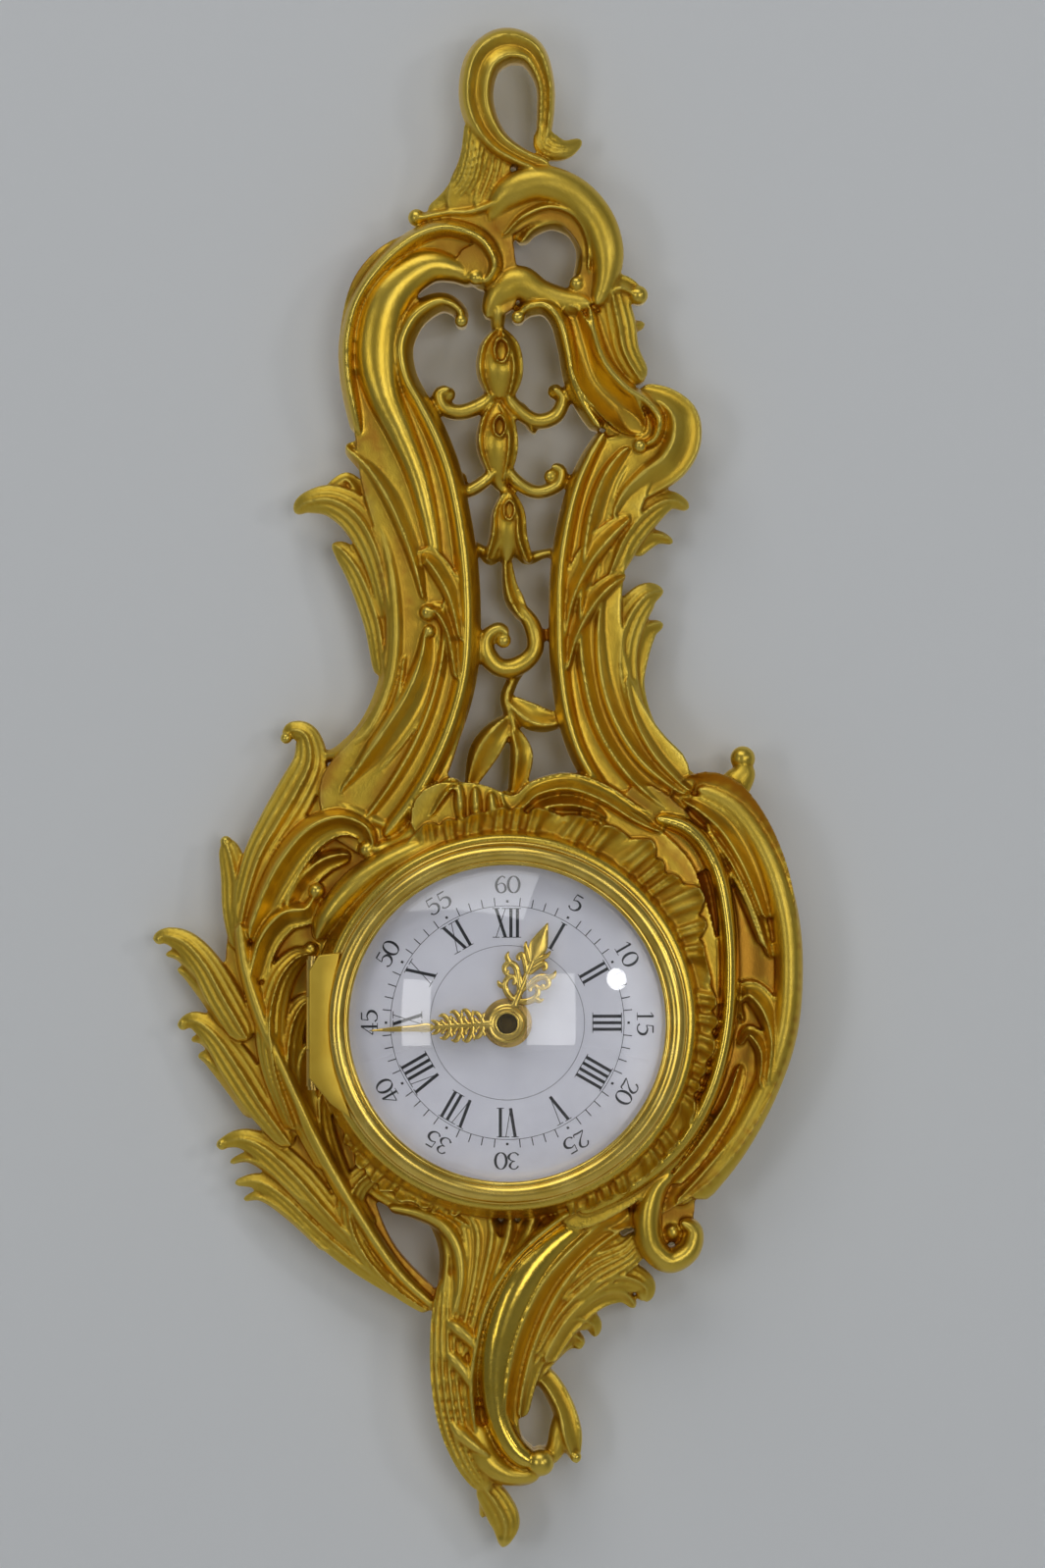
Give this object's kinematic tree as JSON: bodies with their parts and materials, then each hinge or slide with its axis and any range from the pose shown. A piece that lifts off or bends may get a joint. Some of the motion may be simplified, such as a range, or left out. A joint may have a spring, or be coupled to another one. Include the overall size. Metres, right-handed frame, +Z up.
{
  "type": "cartel wall clock",
  "caption": "Rococo gilt-bronze cartel wall clock: openwork scroll and acanthus case, hinged domed bezel over an enamel dial, pierced hands and a battery movement in a rear drum.",
  "frame": {"origin": "centre of the nail hole in the hanging strap, on the wall plane", "axes": "+X to the right seen from the front, +Y into the wall, +Z up along the height"},
  "size_m": [0.1768, 0.0447, 0.4139],
  "materials": {
    "ormolu": "matt fire-gilt bronze with burnished rims",
    "brass": "plain turned",
    "enamel": "gloss white enamel with black numerals",
    "glass": "clear, polished",
    "steel": "plain",
    "black_plastic": "moulded, matt",
    "pale_plastic": "moulded, matt",
    "rubber": "matt",
    "battery_can": "plain sleeve"
  },
  "bodies": {
    "case": {"upper_casting": "ormolu", "body_casting": "ormolu", "acanthus_casting": "ormolu", "tail_casting": "ormolu", "dial_ring": "brass", "movement_drum": "brass", "drum_screws": "brass", "hanging_strap": "brass", "strap_screws": "brass", "enamel_dial": "enamel", "dial_feet": "brass", "hinge_bracket": "brass", "bracket_screws": "brass", "hinge_pin": "brass", "fixing_nut": "brass", "brass_washer": "brass", "rubber_washer": "rubber", "movement_front_case": "black_plastic", "movement_back_case": "black_plastic", "friction_spring": "steel", "stepper_motor": "steel", "motor_coil": "steel", "circuit_board": "pale_plastic", "quartz_can": "steel", "battery": "battery_can", "positive_contact": "steel", "negative_contact": "steel"},
    "bezel": {"bezel": "ormolu", "glass": "glass", "glass_retainer": "brass"},
    "minute": {"minute_hand": "ormolu", "hand_nut": "ormolu", "minute_arbor": "brass"},
    "hour": {"hour_hand": "ormolu", "hour_wheel": "brass"},
    "motion": {"minute_wheel": "pale_plastic"},
    "knob": {"setting_knob": "pale_plastic"},
    "cover": {"rear_cover": "brass"}
  },
  "joints": [
    {"name": "bezel_hinge", "type": "hinge", "parent": "case", "child": "bezel", "pos_m": [-0.052, -0.0311, -0.222], "axis": [0, 0, -1], "range_deg": [0, 105]},
    {"name": "minute_spin", "type": "hinge", "parent": "case", "child": "minute", "pos_m": [0, 0, -0.222], "axis": [0, 1, 0], "continuous": true},
    {"name": "hour_spin", "type": "hinge", "parent": "case", "child": "hour", "pos_m": [0, 0, -0.222], "axis": [0, 1, 0], "continuous": true},
    {"name": "motion_spin", "type": "hinge", "parent": "case", "child": "motion", "pos_m": [0, 0, -0.21], "axis": [0, 1, 0], "continuous": true},
    {"name": "knob_spin", "type": "hinge", "parent": "case", "child": "knob", "pos_m": [0.01039, 0, -0.204], "axis": [0, 1, 0], "continuous": true},
    {"name": "cover_pull", "type": "slide", "parent": "case", "child": "cover", "axis": [0, 1, 0], "range_m": [0, 0.025]}
  ],
  "couplings": [
    {"joint": "hour_spin", "follows": "minute_spin", "ratio": 0.083333},
    {"joint": "motion_spin", "follows": "minute_spin", "ratio": -0.33333},
    {"joint": "knob_spin", "follows": "minute_spin", "ratio": 1}
  ]
}
